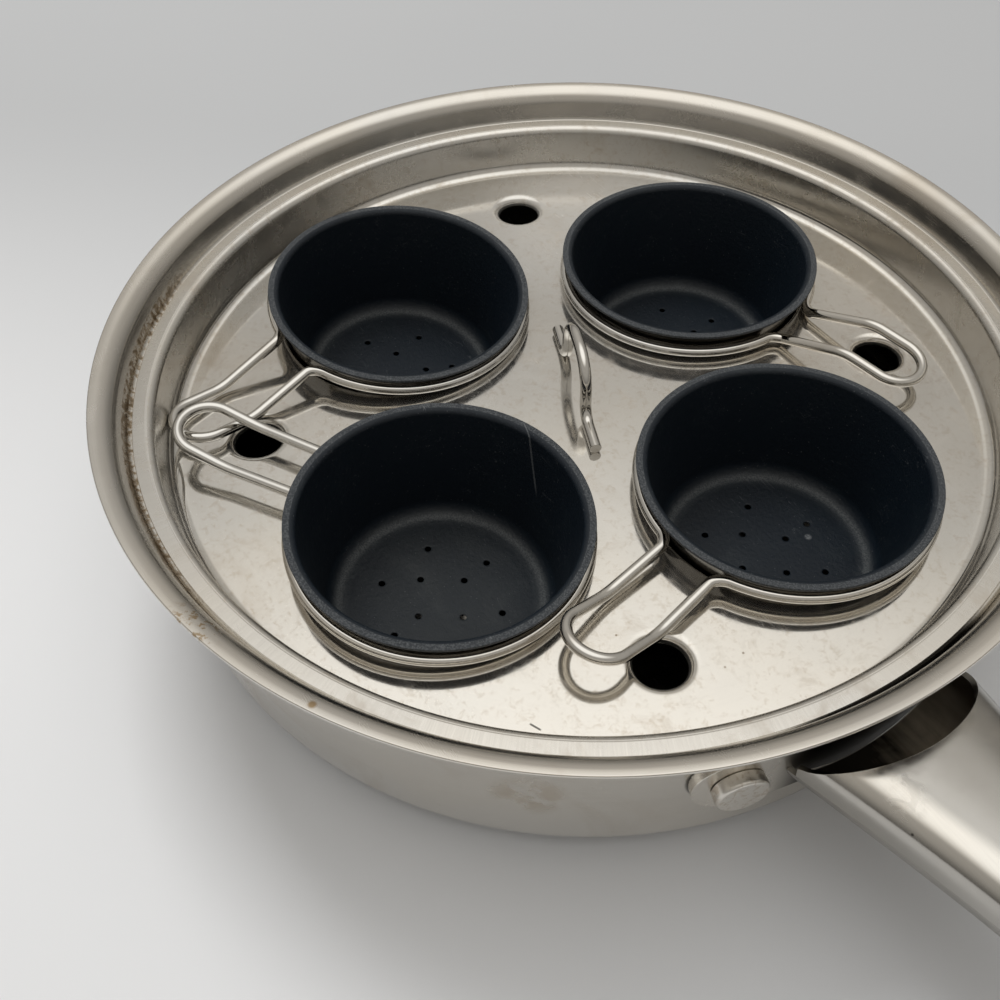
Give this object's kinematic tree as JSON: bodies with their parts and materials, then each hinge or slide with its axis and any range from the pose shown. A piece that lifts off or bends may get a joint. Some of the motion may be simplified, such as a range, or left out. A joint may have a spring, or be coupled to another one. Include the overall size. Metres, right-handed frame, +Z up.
{
  "type": "egg poacher pan",
  "caption": "Lipped saucepan with a hollow handle and a drop-in tray that holds lift-out poaching cups in wire holders.",
  "frame": {"origin": "centre of the underside of the pan's base", "axes": "+Z up, +X out along the handle, +Y to the handle's left seen from the pan's centre"},
  "size_m": [0.4396, 0.26, 0.0654],
  "materials": {
    "pan_steel": "satin",
    "tray_steel": "polished",
    "handle_steel": "polished",
    "rivet_steel": "satin",
    "wire_steel": "polished",
    "core_aluminium": "satin",
    "cup_coating": "satin"
  },
  "bodies": {
    "pan": {"base_cap": "pan_steel", "base_core": "core_aluminium", "pan_body": "pan_steel", "handle_strap": "handle_steel", "handle_rivets": "rivet_steel", "handle_lower_shell": "handle_steel", "handle_upper_shell": "handle_steel"},
    "tray": {"tray": "tray_steel", "tray_lift_loop": "wire_steel"},
    "cup_back": {"cup_back": "cup_coating", "cup_holder_back": "wire_steel"},
    "cup_left": {"cup_left": "cup_coating", "cup_holder_left": "wire_steel"},
    "cup_front": {"cup_front": "cup_coating", "cup_holder_front": "wire_steel"},
    "cup_right": {"cup_right": "cup_coating", "cup_holder_right": "wire_steel"}
  },
  "joints": [
    {"name": "tray_lift", "type": "slide", "parent": "pan", "child": "tray", "axis": [0, 0, 1], "range_m": [0, 0.07]},
    {"name": "cup_back_lift", "type": "slide", "parent": "tray", "child": "cup_back", "axis": [0, 0, 1], "range_m": [0, 0.048]},
    {"name": "cup_left_lift", "type": "slide", "parent": "tray", "child": "cup_left", "axis": [0, 0, 1], "range_m": [0, 0.048]},
    {"name": "cup_front_lift", "type": "slide", "parent": "cup_left", "child": "cup_front", "axis": [0, 0, 1], "range_m": [0, 0.048]},
    {"name": "cup_right_lift", "type": "slide", "parent": "tray", "child": "cup_right", "axis": [0, 0, 1], "range_m": [0, 0.048]}
  ]
}
